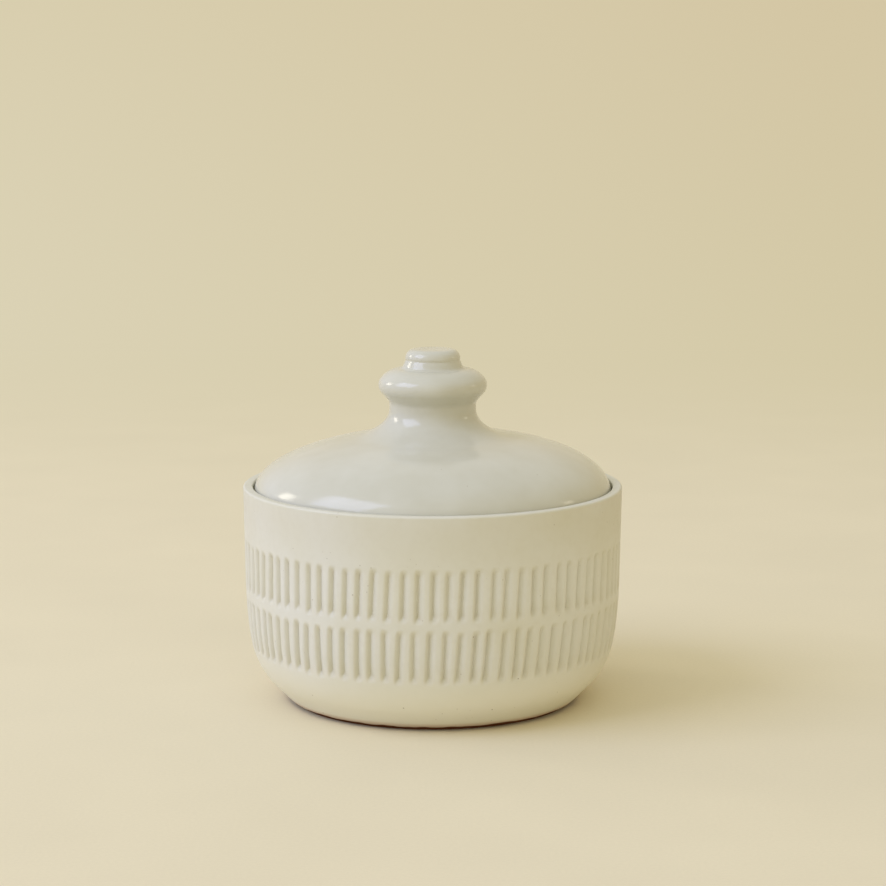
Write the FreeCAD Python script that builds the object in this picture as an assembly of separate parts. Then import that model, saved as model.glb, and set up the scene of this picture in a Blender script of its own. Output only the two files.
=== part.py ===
import FreeCAD, Part
import math
import os

# A lidded stoneware jar: a round body with a recessed rim and two bands of pressed flutes, and a domed
# lid with a turned knob that drops into the rim.
# Millimetres, +Z up. The origin is the centre of the foot ring's resting face.
# An outline is a ring of lines, each a point and a direction, and its corners are where one line meets
# the next. A round stretch is a few lines that touch its circle or ellipse at even steps.

# Jar, outside. An inset is how far the wall stands inside the rim's radius.
JAR_RADIUS = 55.0
RIM_HEIGHT = 63.0
KNEE_INSET = 0.6
KNEE_HEIGHT = 32.5
BELT_INSET = 2.3
BELT_HEIGHT = 16.0
BELLY_ROUNDING = 22.6
BELLY_CENTRE_RADIUS = 30.6
BELLY_CENTRE_HEIGHT = 21.5
BELLY_RUNS = 3

# Jar, under the foot.
FOOT_RING_INNER_RADIUS = 34.2
FOOT_RECESS_RADIUS = 33.0
FOOT_RECESS_DEPTH = 1.6

# Jar, rim, the gallery that carries the lid, and inside.
RIM_THICKNESS = 2.8
GALLERY_DEPTH = 4.8
LEDGE_WIDTH = 3.6
FLOOR_THICKNESS = 5.4
INSIDE_CORNER_ROUNDING = 17.0

# Flutes: upright grooves pressed into the wall in two bands.
FLUTES_PER_BAND = 82
FLUTE_WIDTH = 2.5
FLUTE_FLOOR_WIDTH = 1.2
FLUTE_DEPTH = 0.75
UPPER_BAND_BOTTOM = 33.7
UPPER_BAND_LENGTH = 14.6
LOWER_BAND_BOTTOM = 16.1
LOWER_BAND_LENGTH = 15.2

# Lid, the cover. The dome follows an ellipse whose centre stands off the axis.
LID_GAP = 0.4
LID_EDGE_HEIGHT = 3.0
LID_SEAT_WIDTH = 4.2
DOME_RISE = 17.4
DOME_CENTRE_RADIUS = 4.0
DOME_RUNS = 6
CEILING_RADIUS = 35.0
CEILING_HEIGHT = 12.2

# Lid, the knob from its neck to the button on top. Heights are above the face that the lid sits on.
NECK_RADIUS = 12.5
NECK_ROUNDING = 8.0
NECK_FOOT_HEIGHT = 27.6
BULGE_RADIUS = 15.75
BULGE_HEIGHT = 33.7
BULGE_NOSE_ROUNDING = 3.4
BULGE_NOSE_RUNS = 4
BULGE_TOP_HEIGHT = 38.8
BULGE_TOP_ROUNDING = 8.0
BULGE_TOP_RADIUS = 8.8
BUTTON_BASE_RADIUS = 8.6
BUTTON_RADIUS = 7.9
BUTTON_HEIGHT = 5.3
BUTTON_EDGE_ROUNDING = 1.9
HOLLOW_RADIUS = 8.3
HOLLOW_HEIGHT = 35.0

# Places round a circle or ellipse, in degrees from its outermost point, upwards.
BELLY_BOTTOM = -56.0
BELLY_TOP = -21.0
INSIDE_CORNER = -48.0
DOME_EDGE = 5.75
DOME_TOP = 63.25
NECK_FOOT = 220.0
BULGE_UNDER = -42.0
BULGE_OVER = 40.0
BULGE_SHOULDER = 65.0
BUTTON_EDGE = 50.0

# How far, in degrees, a band's first flute stands from the front.
UPPER_BAND_TURN = 0.45
LOWER_BAND_TURN = -0.40
FRONT = -90.0
FULL_TURN = 360.0

ORIGIN = FreeCAD.Vector(0, 0, 0)
LEVEL = FreeCAD.Vector(1, 0, 0)
SIDEWAYS = FreeCAD.Vector(0, 1, 0)
UPRIGHT = FreeCAD.Vector(0, 0, 1)


def at(radius, height):
    """A point of an outline, in the half plane where outlines are drawn."""
    return FreeCAD.Vector(radius, 0, height)


def level(height):
    return at(0, height), LEVEL


def upright(radius):
    return at(radius, 0), UPRIGHT


def through(start, end):
    return start, end - start


def touching(centre, half_width, half_height, degrees):
    """The line that touches an ellipse at this place round it."""
    angle = math.radians(degrees)
    across, up = math.cos(angle), math.sin(angle)
    return centre + at(half_width * across, half_height * up), at(-half_width * up, half_height * across)


def around(centre, half_width, half_height, first, last, runs):
    """Lines that touch an ellipse at even steps, from one place round it to another."""
    step = (last - first) / (runs - 1)
    return [touching(centre, half_width, half_height, first + step * i) for i in range(runs)]


def crossing(line, other):
    """Where one line of an outline meets another."""
    start, along = line
    other_start, other_along = other
    gap = other_start - start
    skew = along.x * other_along.z - along.z * other_along.x
    reach = (gap.x * other_along.z - gap.z * other_along.x) / skew
    return start + along * reach


def turned(lines):
    """The solid that an outline makes when it is turned about the axis."""
    corners = [crossing(line, following) for line, following in zip(lines, lines[1:] + lines[:1])]
    face = Part.Face(Part.makePolygon(corners + corners[:1]))
    return face.revolve(ORIGIN, UPRIGHT, FULL_TURN)


def flute_band(wall, bottom, length, turn):
    """A ring of bars that press flutes into the wall along one line of its outline.

    A bar widens upwards as the wall does, in step with its distance from the wall's own apex.
    """
    apex = crossing(wall, upright(0))
    floor_half = FLUTE_FLOOR_WIDTH / 2
    outer_half = FLUTE_WIDTH - floor_half
    sides = (
        (FLUTE_DEPTH, -outer_half),
        (-FLUTE_DEPTH, -floor_half),
        (-FLUTE_DEPTH, floor_half),
        (FLUTE_DEPTH, outer_half),
    )

    def section(height):
        middle = crossing(wall, level(height))
        size = (height - apex.z) / (bottom - apex.z)
        points = [middle + (LEVEL * out + SIDEWAYS * side) * size for out, side in sides]
        return Part.makePolygon(points + points[:1])

    bar = Part.makeLoft([section(bottom), section(bottom + length)], True, True)
    pitch = FULL_TURN / FLUTES_PER_BAND
    first = FRONT + turn
    return [bar.rotated(ORIGIN, UPRIGHT, first + pitch * i) for i in range(FLUTES_PER_BAND)]


def jar_body():
    gallery = JAR_RADIUS - RIM_THICKNESS
    ledge = gallery - LEDGE_WIDTH
    floor = FOOT_RECESS_DEPTH + FLOOR_THICKNESS
    rim = at(JAR_RADIUS, RIM_HEIGHT)
    knee = at(JAR_RADIUS - KNEE_INSET, KNEE_HEIGHT)
    belt = at(JAR_RADIUS - BELT_INSET, BELT_HEIGHT)
    upper_wall = through(knee, rim)
    lower_wall = through(belt, knee)
    belly_centre = at(BELLY_CENTRE_RADIUS, BELLY_CENTRE_HEIGHT)
    inside_centre = at(ledge - INSIDE_CORNER_ROUNDING, floor + INSIDE_CORNER_ROUNDING)

    under = [
        upright(0),
        level(FOOT_RECESS_DEPTH),
        through(at(FOOT_RECESS_RADIUS, FOOT_RECESS_DEPTH), at(FOOT_RING_INNER_RADIUS, 0)),
        level(0),
    ]
    outside = around(belly_centre, BELLY_ROUNDING, BELLY_ROUNDING, BELLY_BOTTOM, BELLY_TOP, BELLY_RUNS)
    outside += [lower_wall, upper_wall, level(RIM_HEIGHT)]
    inside = [
        upright(gallery),
        level(RIM_HEIGHT - GALLERY_DEPTH),
        upright(ledge),
        touching(inside_centre, INSIDE_CORNER_ROUNDING, INSIDE_CORNER_ROUNDING, INSIDE_CORNER),
        level(floor),
    ]
    body = turned(under + outside + inside)
    bars = flute_band(upper_wall, UPPER_BAND_BOTTOM, UPPER_BAND_LENGTH, UPPER_BAND_TURN)
    bars += flute_band(lower_wall, LOWER_BAND_BOTTOM, LOWER_BAND_LENGTH, LOWER_BAND_TURN)
    return body.cut(bars)


def lid():
    seat = RIM_HEIGHT - GALLERY_DEPTH
    edge = JAR_RADIUS - RIM_THICKNESS - LID_GAP
    ceiling = seat + CEILING_HEIGHT
    bulge_top = seat + BULGE_TOP_HEIGHT
    button_top = bulge_top + BUTTON_HEIGHT
    dome_centre = at(DOME_CENTRE_RADIUS, seat + LID_EDGE_HEIGHT)
    dome_half_width = edge - DOME_CENTRE_RADIUS
    neck_centre = at(NECK_RADIUS + NECK_ROUNDING, seat + NECK_FOOT_HEIGHT)
    nose_centre = at(BULGE_RADIUS - BULGE_NOSE_ROUNDING, seat + BULGE_HEIGHT)
    shoulder_centre = at(BULGE_TOP_RADIUS, bulge_top - BULGE_TOP_ROUNDING)
    button_edge_height = button_top - BUTTON_EDGE_ROUNDING
    button_centre = at(BUTTON_RADIUS - BUTTON_EDGE_ROUNDING, button_edge_height)

    cover = [level(seat), upright(edge)]
    cover += around(dome_centre, dome_half_width, DOME_RISE, DOME_EDGE, DOME_TOP, DOME_RUNS)
    neck = [touching(neck_centre, NECK_ROUNDING, NECK_ROUNDING, NECK_FOOT), upright(NECK_RADIUS)]
    nose = around(
        nose_centre,
        BULGE_NOSE_ROUNDING,
        BULGE_NOSE_ROUNDING,
        BULGE_UNDER,
        BULGE_OVER,
        BULGE_NOSE_RUNS,
    )
    top = [
        touching(shoulder_centre, BULGE_TOP_ROUNDING, BULGE_TOP_ROUNDING, BULGE_SHOULDER),
        level(bulge_top),
        through(at(BUTTON_BASE_RADIUS, bulge_top), at(BUTTON_RADIUS, button_edge_height)),
        touching(button_centre, BUTTON_EDGE_ROUNDING, BUTTON_EDGE_ROUNDING, BUTTON_EDGE),
        level(button_top),
    ]
    underside = [
        upright(0),
        level(seat + HOLLOW_HEIGHT),
        upright(HOLLOW_RADIUS),
        level(ceiling),
        through(at(CEILING_RADIUS, ceiling), at(edge - LID_SEAT_WIDTH, seat)),
    ]
    return turned(cover + neck + nose + top + underside)


def main():
    os.makedirs("parts", exist_ok=True)
    for name, shape in (("jar_body", jar_body()), ("lid", lid())):
        shape.exportStep(os.path.join("parts", name + ".step"))
        print(name, "solids", len(shape.Solids), "valid", shape.isValid(), "mm3", round(shape.Volume))


main()
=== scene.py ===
import math
from functools import partial

import bpy
from bpy.props import FloatProperty, FloatVectorProperty, IntProperty, PointerProperty
from mathutils import Matrix, Vector


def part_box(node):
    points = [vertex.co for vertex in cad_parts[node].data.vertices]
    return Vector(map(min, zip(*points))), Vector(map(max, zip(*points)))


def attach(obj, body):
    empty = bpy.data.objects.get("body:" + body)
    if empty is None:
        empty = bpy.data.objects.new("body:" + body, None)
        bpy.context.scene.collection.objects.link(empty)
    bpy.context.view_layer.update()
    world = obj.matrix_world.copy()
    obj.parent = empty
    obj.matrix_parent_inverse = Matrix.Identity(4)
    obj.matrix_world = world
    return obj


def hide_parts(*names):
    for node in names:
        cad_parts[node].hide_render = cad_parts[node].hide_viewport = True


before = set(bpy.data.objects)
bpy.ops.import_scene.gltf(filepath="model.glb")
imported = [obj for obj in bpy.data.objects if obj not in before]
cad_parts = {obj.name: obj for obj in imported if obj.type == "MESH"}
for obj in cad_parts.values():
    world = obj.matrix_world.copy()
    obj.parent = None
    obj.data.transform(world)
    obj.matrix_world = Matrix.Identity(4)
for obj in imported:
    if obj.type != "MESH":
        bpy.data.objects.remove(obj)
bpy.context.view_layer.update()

bl_info = {
    "name": "Lidded stoneware jar",
    "version": (1, 0, 0),
    "blender": (4, 5, 0),
    "location": "3D View > Sidebar > Jar",
    "description": "Turns, flutes and glazes a lidded stoneware jar around its packed CAD model",
    "category": "Add Mesh",
}

PREFIX = "jar."
POOL_AND_SHADE = "glaze_pool"
MILLIMETRE = 0.001

# The kinds of node that the trees use most. A map range takes a value, the range that it comes from and the
# range that it goes to, in this order.
MATH = "ShaderNodeMath"
MAP_RANGE = "ShaderNodeMapRange"
NOISE = "ShaderNodeTexNoise"

JAR_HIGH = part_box("jar_body")[1]
LID_LOW, LID_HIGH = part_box("lid")

# How finely the meshes are divided. A flute's own columns are shares of half a pitch from its middle and
# crowd at its deepest line, and one more stands at -1, between two flutes. Away from the flutes only every
# eighth column is left. Roundings are drawn in steps of up to 11 degrees.
FLUTE_COLUMNS = (
    -0.76, -0.62, -0.5, -0.4, -0.31, -0.23, -0.16, -0.1, -0.03, 0.06, 0.18, 0.32, 0.46, 0.62, 0.8)
COARSE = 8
LID_COLUMNS = 320
ROUNDING_STEP = 11
ON_AXIS = 1e-7

# Rows of the mesh at a flute's two ends, as heights above its bottom and depths below its top.
ROWS_AT_BOTTOM = (-0.0005, -0.0002, 0.0, 0.0003, 0.0007, 0.0011, 0.0015, 0.0019, 0.0024, 0.0031)
ROWS_AT_TOP = (-0.0007, -0.0003, 0.0, 0.0004, 0.0008, 0.0012, 0.0017, 0.0023, 0.0032)
PARTS_BETWEEN = 4


def linear(code):
    """An sRGB hex colour such as #D8D4C4 as the linear colour that Blender's sockets take."""
    parts = [int(code[i:i + 2], 16) / 255 for i in (1, 3, 5)]
    return [p / 12.92 if p <= 0.04045 else ((p + 0.055) / 1.055) ** 2.4 for p in parts]


def length(name, value, description):
    return FloatProperty(name=name, description=description, default=value, unit="LENGTH", precision=5)


def angle(name, degrees, description):
    return FloatProperty(name=name, description=description, default=math.radians(degrees), unit="ROTATION")


def colour(name, code, description):
    return FloatVectorProperty(
        name=name, description=description, default=linear(code), subtype="COLOR", min=0, max=1)


def factor(name, value, description):
    return FloatProperty(name=name, description=description, default=value, subtype="FACTOR")


def add_node(tree, kind, inputs=(), **settings):
    """Adds a node with its settings. Its inputs go by name, or in the order of its sockets.

    An input takes a value, a socket, or a node for its first output. A colour of three parts is opaque.
    """
    node = tree.nodes.new(kind)
    for name, value in settings.items():
        setattr(node, name, value)
    for name, value in inputs.items() if isinstance(inputs, dict) else enumerate(inputs):
        if isinstance(value, bpy.types.Node):
            value = value.outputs[0]
        if isinstance(value, bpy.types.NodeSocket):
            tree.links.new(value, node.inputs[name])
        elif node.inputs[name].type == "RGBA":
            node.inputs[name].default_value = (*value, 1)[:4]
        else:
            node.inputs[name].default_value = value
    return node


# Outlines and the meshes that are turned from them.


def arc(centre, width, height, first, last, steps):
    """Points round an ellipse of these half sizes, from one place to another in degrees, ends included."""
    turns = [math.radians(first + (last - first) * i / steps) for i in range(steps + 1)]
    return [(centre[0] + width * math.cos(t), centre[1] + height * math.sin(t)) for t in turns]


def eased(corners):
    """An outline with its corners rounded. A corner is (radius, height) or (radius, height, rounding)."""
    outline = []
    for i, corner in enumerate(corners):
        here = Vector(corner[:2])
        rounding = corner[2] if len(corner) > 2 else 0
        if not rounding:
            outline.append(tuple(here))
            continue
        back = (Vector(corners[i - 1][:2]) - here).normalized()
        on = (Vector(corners[i + 1][:2]) - here).normalized()
        half = back.angle(on) / 2
        middle = here + (back + on).normalized() * rounding / math.sin(half)
        start, end = here + back * rounding / math.tan(half), here + on * rounding / math.tan(half)
        sweep = math.pi - 2 * half
        steps = max(3, math.ceil(math.degrees(sweep) / ROUNDING_STEP))
        side = math.copysign(1, (start - middle).cross(end - middle))
        for k in range(steps + 1):
            turn = Matrix.Rotation(side * sweep * k / steps, 2)
            outline.append(tuple(middle + turn @ (start - middle)))
    return outline


def even(start, end, parts):
    """Points that divide a straight stretch, its ends left out."""
    return [tuple(Vector(start).lerp(Vector(end), i / parts)) for i in range(1, parts)]


def turned(name, rows, angles):
    """A closed mesh turned about the axis from an outline that starts and ends on it.

    A row is (radius, height, step, twist): it has every step-th column, and stands turned by its twist.
    """
    points, rings, faces = [], [], []
    for radius, height, step, twist in rows:
        columns = angles[::step] if radius > ON_AXIS else angles[:1]
        first = len(points)
        points += [(radius * math.sin(a + twist), -radius * math.cos(a + twist), height) for a in columns]
        rings.append(range(first, len(points)))
    for low, high in zip(rings, rings[1:]):
        if len(low) == 1:
            faces += [[low[0], high[(i + 1) % len(high)], high[i]] for i in range(len(high))]
            continue
        if len(high) == 1:
            faces += [[low[i], low[(i + 1) % len(low)], high[0]] for i in range(len(low))]
            continue
        count = min(len(low), len(high))
        below, above = len(low) // count, len(high) // count
        for i in range(count):
            under = [low[(i * below + k) % len(low)] for k in range(below + 1)]
            over = [high[(i * above + k) % len(high)] for k in range(above + 1)]
            faces.append(under + over[::-1])
    mesh = bpy.data.meshes.new(name)
    mesh.from_pydata(points, [], faces)
    mesh.shade_smooth()
    mesh.update()
    return mesh


# Sizes and colours that a user would change.


class JarSizes(bpy.types.PropertyGroup):
    """Sizes of the jar, the pot without its lid."""

    rim_radius: length("Rim radius", JAR_HIGH.x - 0.00002, "Outside of the rim")
    rim_height: length("Rim height", JAR_HIGH.z, "Top of the rim above the table")
    rim_rounding: length("Rim rounding", 0.0007, "Outer edge of the rim, softened by glaze")
    lip_rounding: length("Lip rounding", 0.0005, "Inner edge of the rim")
    gallery_radius: length("Gallery radius", 0.0522, "Round wall that the lid drops into")
    gallery_depth: length("Gallery depth", 0.0048, "From the rim down to the ledge that the lid sits on")
    ledge_radius: length("Ledge radius", 0.0486, "Inner edge of the ledge and the inside wall below it")
    floor_height: length("Floor height", 0.007, "Inside floor above the table")
    inside_rounding: length("Inside rounding", 0.017, "Where the inside wall runs into the floor")
    shoulder_height: length("Shoulder height", 0.03507, "Where the taper ends and the wall starts to curve")
    shoulder_inset: length("Shoulder inset", 0.00052, "How far the wall stands inside the rim there")
    wall_rounding: length("Wall rounding", 0.1406, "The wall's long curve below the shoulder")
    belly_rounding: length("Belly rounding", 0.02265, "The curve from the wall into the foot")
    belly_radius: length("Belly centre radius", 0.03061, "Distance of that curve's centre from the axis")
    belly_height: length("Belly centre height", 0.02155, "Height of that curve's centre")
    foot_edge_radius: length("Foot edge radius", 0.0422, "Lower edge of the belly, above the foot ring")
    foot_edge_height: length("Foot edge height", 0.0010, "How high that edge stands above the table")
    foot_radius: length("Foot radius", 0.0406, "Outside of the foot ring, set in under that edge")
    foot_inner_radius: length("Foot ring inner radius", 0.0342, "Inside of the face that the jar stands on")
    recess_radius: length("Recess radius", 0.033, "Sunk face inside the foot ring")
    recess_depth: length("Recess depth", 0.0016, "How far that face is sunk")


class FluteSizes(bpy.types.PropertyGroup):
    """Sizes of the two bands of pressed flutes."""

    count: IntProperty(name="Flutes", description="Flutes in each band", default=82, min=8)
    steep_side: length("Steep side", 0.0013, "How far a flute's left wall, where the tool went in, runs out")
    gentle_side: length("Gentle side", 0.0020, "How far its right wall runs out")
    offset: length("Offset", 0.0002, "How far the deepest line lies left of the flute's middle")
    depth: length("Flute depth", 0.0012, "Depth of that line below the wall")
    top_ease: length("Top ease", 0.0022, "How far below its top end a flute reaches its full depth")
    bottom_ease: length("Bottom ease", 0.0022, "How far above its bottom end a flute reaches its full depth")
    upper_bottom: length("Upper band bottom", 0.0328, "Bottom end of the upper flutes")
    upper_top: length("Upper band top", 0.0484, "Top end of the upper flutes")
    lower_bottom: length("Lower band bottom", 0.0152, "Bottom end of the lower flutes")
    lower_top: length("Lower band top", 0.0314, "Top end of the lower flutes")
    upper_turn: angle("Upper band turn", 0.30, "How far the upper band is turned from the front")
    lower_turn: angle("Lower band turn", -0.80, "How far the lower band is turned from the front")
    upper_slant: factor("Upper slant", 0.035, "Sideways run of all the upper flutes for each unit of height")
    lower_slant: factor("Lower slant", 0.046, "Sideways run of all the lower flutes for each unit of height")
    wander: length("Wander", 0.0003, "How far a hand-pressed flute strays sideways from its even place")
    lean: factor("Lean", 0.022, "Sideways run of the most leaning flute for each unit of its height")
    seed: IntProperty(name="Seed", description="Which set of strayed flutes is drawn", default=7)


class LidSizes(bpy.types.PropertyGroup):
    """Sizes of the lid, from its seat to the button on top."""

    seat_height: length("Seat height", LID_LOW.z, "Face that rests on the ledge, above the table")
    edge_radius: length("Edge radius", LID_HIGH.x, "Outside of the lid")
    edge_height: length("Edge height", 0.0027, "Upright edge that stands in the rim")
    seat_radius: length("Seat inner radius", 0.0476, "Inside of the seat face")
    dome_centre: length("Dome centre", 0.00397, "How far the dome's oval stands off the axis")
    dome_rise: length("Dome rise", 0.0172, "Half height of that oval")
    dome_fullness: FloatProperty(
        name="Dome fullness", description="Roundness of the shoulder: 2 is an ellipse",
        default=2.05, min=1.5, max=4)
    sag: length("Sag", 0.0006, "How far one of the dome's shoulders stood up, and the other sank")
    ceiling_rise: length("Ceiling rise", 0.0136, "Half height of the curve under the dome")
    hollow_radius: length("Hollow radius", 0.0083, "Space inside the knob")
    hollow_top: length("Hollow top", 0.0932, "Top of that space above the table")
    neck_radius: length("Neck radius", 0.01255, "The knob's neck")
    neck_flare: length("Neck flare", 0.01616, "How far the hollow curve from the neck to the dome runs out")
    neck_rise: length("Neck rise", 0.00876, "How high that curve climbs")
    collar_rounding: length("Collar rounding", 0.0022, "Where the neck meets the bulge")
    nose_radius: length("Nose radius", 0.00334, "Rounding of the bulge's widest part")
    nose_centre: length("Nose centre radius", 0.01237, "Distance of that rounding's centre from the axis")
    nose_height: length("Nose height", 0.09194, "Height of that rounding's centre")
    crown_radius: length("Crown radius", 0.00756, "Rounding of the bulge's top")
    button_foot: length("Button foot radius", 0.00886, "The button where it stands on the bulge")
    button_radius: length("Button radius", 0.00778, "The button at its top")
    button_rounding: length("Button rounding", 0.0026, "Edge of the button")
    crease_height: length("Crease height", 0.0992, "Fine crease that the turning tool left round the button")
    crease_depth: length("Crease depth", 0.00012, "Depth of that crease")


class Glazes(bpy.types.PropertyGroup):
    """Colours of the glazes and the bare clay."""

    cream: colour("Cream glaze", "#DBD9C9", "The jar's satin glaze")
    cream_thin: colour("Cream glaze, thin", "#DEDDD2", "The same glaze where it lies thinner")
    # Painted light: a lighter tone laid on the belly to lift its shade near the table.
    cream_belly_light: colour("Cream glaze, belly light", "#ECEADB", "Painted light: a lighter tone that lifts the belly's shade")
    # Its darkening in the flutes is pooled glaze and painted shade in the hollows.
    cream_pool_and_shade: colour("Cream glaze, pooled", "#CDC8B3", "The same glaze where it gathers in a flute, with painted shade")
    cream_edge: colour("Cream glaze, edge", "#B98F63", "A darker, warmer tone just above the foot edge")
    grey: colour("Grey-white glaze", "#D0CFC2", "The lid's glossy glaze")
    grey_thick: colour("Grey-white glaze, thick", "#C9C7B7", "The same glaze where it lies thicker")
    clay: colour("Bare clay", "#B0977A", "Fired stoneware on the ledge and the lid's seat")
    # Its darkness on the foot ring is partly painted shade where the ring meets the table.
    clay_dark_and_shade: colour("Bare clay, toasted and shaded", "#5C2A0A", "Its grit, and the foot ring, toasted in the kiln, with painted shade on the ring")
    speck: colour("Speck", "#8E7F62", "Iron specks that show through the glaze, and painted shade in the pinholes")


class StageLook(bpy.types.PropertyGroup):
    """Floor, lamps and camera."""

    paper: colour("Paper", "#E3D9BC", "Seamless paper that the jar stands on")
    # The four tones below are painted light: the paper's glow far behind the jar, darker to the right and as
    # it rises.
    far_left: colour("Far left", "#DBD2B5", "Its tone far behind the jar, on the left")
    far_right: colour("Far right", "#D4C9A7", "Its tone far behind the jar, on the right")
    top_left: colour("Top left", "#D8CDAD", "Its tone where it sweeps up, on the left")
    top_right: colour("Top right", "#D4C6A4", "Its tone where it sweeps up, on the right")
    fill: factor("Fill", 1.0, "Strength of the even light from all round")
    lens: FloatProperty(name="Lens", description="Focal length", default=110.73, unit="CAMERA")


class LiddedJar(bpy.types.PropertyGroup):
    """Everything that the lidded jar's panel lists."""

    jar: PointerProperty(name="Jar", description="Sizes of the jar", type=JarSizes)
    flutes: PointerProperty(name="Flutes", description="Sizes of the flutes", type=FluteSizes)
    lid: PointerProperty(name="Lid", description="Sizes of the lid", type=LidSizes)
    glazes: PointerProperty(name="Glazes", description="Colours of the glazes", type=Glazes)
    stage: PointerProperty(name="Stage", description="Floor, lamps and camera", type=StageLook)


# The jar's outline.

# The belly's arc: where it starts, in degrees above level, and how far below the flutes' first row it ends.
BELLY_START = -46
BELLY_CLEARANCE = 0.0008

# Plain rows above the flutes, and the last one below the rim.
ROWS_ABOVE_FLUTES = (0.0024, 0.0048)
ROW_BELOW_RIM = 0.004

# Small sizes where corners are softened by sponge and glaze. The foot ring's side draws out a little and
# ends under the foot edge, and the rim's top slopes in.
RECESS_ROUNDING = 0.0005
FOOT_INNER_ROUNDING = 0.0004
FOOT_ROUNDING = 0.0002
FOOT_DRAFT = 0.0001
FOOT_EDGE_UNDERCUT = 0.0003
FOOT_EDGE_ROUNDING = 0.0004
RIM_SLOPE = 0.0001
GALLERY_ROUNDING = 0.0006
LEDGE_ROUNDING = 0.0008


def long_curve_centre(s):
    """Centre of the wall's long curve, which touches the straight taper at the shoulder."""
    lean = math.atan(s.shoulder_inset / (s.rim_height - s.shoulder_height))
    return (s.rim_radius - s.shoulder_inset - s.wall_rounding * math.cos(lean),
            s.shoulder_height + s.wall_rounding * math.sin(lean))


def belly_top(s):
    """Height at which the belly curve runs into the long curve."""
    centre = Vector(long_curve_centre(s))
    across = Vector((s.belly_radius, s.belly_height)) - centre
    return (centre + across.normalized() * s.wall_rounding).y


def wall_radius(s, height):
    """Outer radius of the jar's wall at a height: belly curve, long curve, then the straight taper."""
    if height >= s.shoulder_height:
        taper = s.shoulder_inset / (s.rim_height - s.shoulder_height)
        return s.rim_radius - s.shoulder_inset + (height - s.shoulder_height) * taper
    if height < belly_top(s):
        return s.belly_radius + math.sqrt(s.belly_rounding ** 2 - (height - s.belly_height) ** 2)
    centre_radius, centre_height = long_curve_centre(s)
    return centre_radius + math.sqrt(s.wall_rounding ** 2 - (height - centre_height) ** 2)


def flute_rows(bottom, top):
    """Heights of the mesh's rows in one band: close together at a flute's ends, where it runs out."""
    low, high = bottom + ROWS_AT_BOTTOM[-1], top - ROWS_AT_TOP[-1]
    rows = [bottom + rise for rise in ROWS_AT_BOTTOM]
    rows += [low + (high - low) * i / PARTS_BETWEEN for i in range(1, PARTS_BETWEEN)]
    return rows + [top - drop for drop in reversed(ROWS_AT_TOP)]


def jar_rows(s, f):
    """The jar's outline as rows for turned(): under its foot, up the wall, over the rim and down inside."""
    lowest = f.lower_bottom + ROWS_AT_BOTTOM[0] - BELLY_CLEARANCE
    highest = math.degrees(math.asin((lowest - s.belly_height) / s.belly_rounding))
    belly = arc((s.belly_radius, s.belly_height), s.belly_rounding, s.belly_rounding,
                BELLY_START, highest, steps=20)
    foot_edge = (s.foot_edge_radius, s.foot_edge_height)
    under = eased([
        (0, s.recess_depth),
        (s.recess_radius / 2, s.recess_depth),
        (s.recess_radius, s.recess_depth, RECESS_ROUNDING),
        (s.foot_inner_radius, 0, FOOT_INNER_ROUNDING),
        (s.foot_radius, 0, FOOT_ROUNDING),
        (s.foot_radius + FOOT_DRAFT, s.foot_edge_height - FOOT_EDGE_UNDERCUT, FOOT_ROUNDING),
        (*foot_edge, FOOT_EDGE_ROUNDING),
        *even(foot_edge, belly[0], parts=5)[1:],
        belly[0],
    ])
    rows = [(r, z, COARSE, f.lower_turn) for r, z in under + belly[1:]]
    for bottom, top, turn, slant in (
        (f.lower_bottom, f.lower_top, f.lower_turn, f.lower_slant),
        (f.upper_bottom, f.upper_top, f.upper_turn, f.upper_slant),
    ):
        for z in flute_rows(bottom, top):
            radius = wall_radius(s, z)
            rows.append((radius, z, 1, turn + slant * (z - (bottom + top) / 2) / radius))

    heights = [f.upper_top + rise for rise in ROWS_ABOVE_FLUTES] + [s.rim_height - ROW_BELOW_RIM]
    ledge = (s.ledge_radius, s.rim_height - s.gallery_depth)
    inside_centre = (s.ledge_radius - s.inside_rounding, s.floor_height + s.inside_rounding)
    above = eased([
        *[(wall_radius(s, z), z) for z in heights],
        (s.rim_radius, s.rim_height, s.rim_rounding),
        (s.gallery_radius, s.rim_height - RIM_SLOPE, s.lip_rounding),
        (s.gallery_radius, ledge[1], GALLERY_ROUNDING),
        (*ledge, LEDGE_ROUNDING),
        *even(ledge, (s.ledge_radius, inside_centre[1]), parts=5)[1:],
    ])
    floor = arc(inside_centre, s.inside_rounding, s.inside_rounding, 0, -90, steps=18)
    floor += even(floor[-1], (0, s.floor_height), parts=4) + [(0, s.floor_height)]
    return rows + [(r, z, COARSE, f.upper_turn) for r, z in above + floor]


# The flutes, pressed by a node tree.

# Sizes that each band has of its own, and those that both bands share.
BAND_SIZES = ("Turn", "Slant", "Bottom", "Top")
SHARED_SIZES = ("Steep side", "Gentle side", "Offset", "Depth", "Top ease", "Bottom ease", "Wander", "Lean")

# What is drawn for each flute: its stray and its lean, as shares of the most that a flute has, its depth as
# a share of the full one, and how far its bottom and its top end stop from their even places.
FLUTE_DRAWS = ((-1, 1), (-1, 1), (0.84, 1.06), (-0.0003, 0.0003), (-0.0003, 0.0003))
LOWER_SEED = 100

# A flute's corners stand between an ellipse's, at 2, and a square's, and its walls steepen towards the
# deepest line: at 1 they would be straight.
CORNER_POWER = 2.6
HOLLOW_POWER = 1.8

# Stray and lean fade out from this share of the way to the next flute on, and over this length past an end.
CALM_SHARE = 0.62
FADE_LENGTH = 0.0009

# Glaze gathers from the deepest line out to the lip, which stands at 1, and its darker colour there is also
# painted shade in the hollow. How much of it gathers grows towards the bottom end, where this painted shade
# also dims the lit lower ends, between these distances above it, in units of the bottom ease.
POOL_SHADE_FULL, POOL_SHADE_GONE = 0.3, 1.15
GATHER_SHADE_START, GATHER_SHADE_END = -2.4, -0.6
GATHER_SHADE_LEAST, GATHER_SHADE_MOST = 0.7, 1.8


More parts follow.
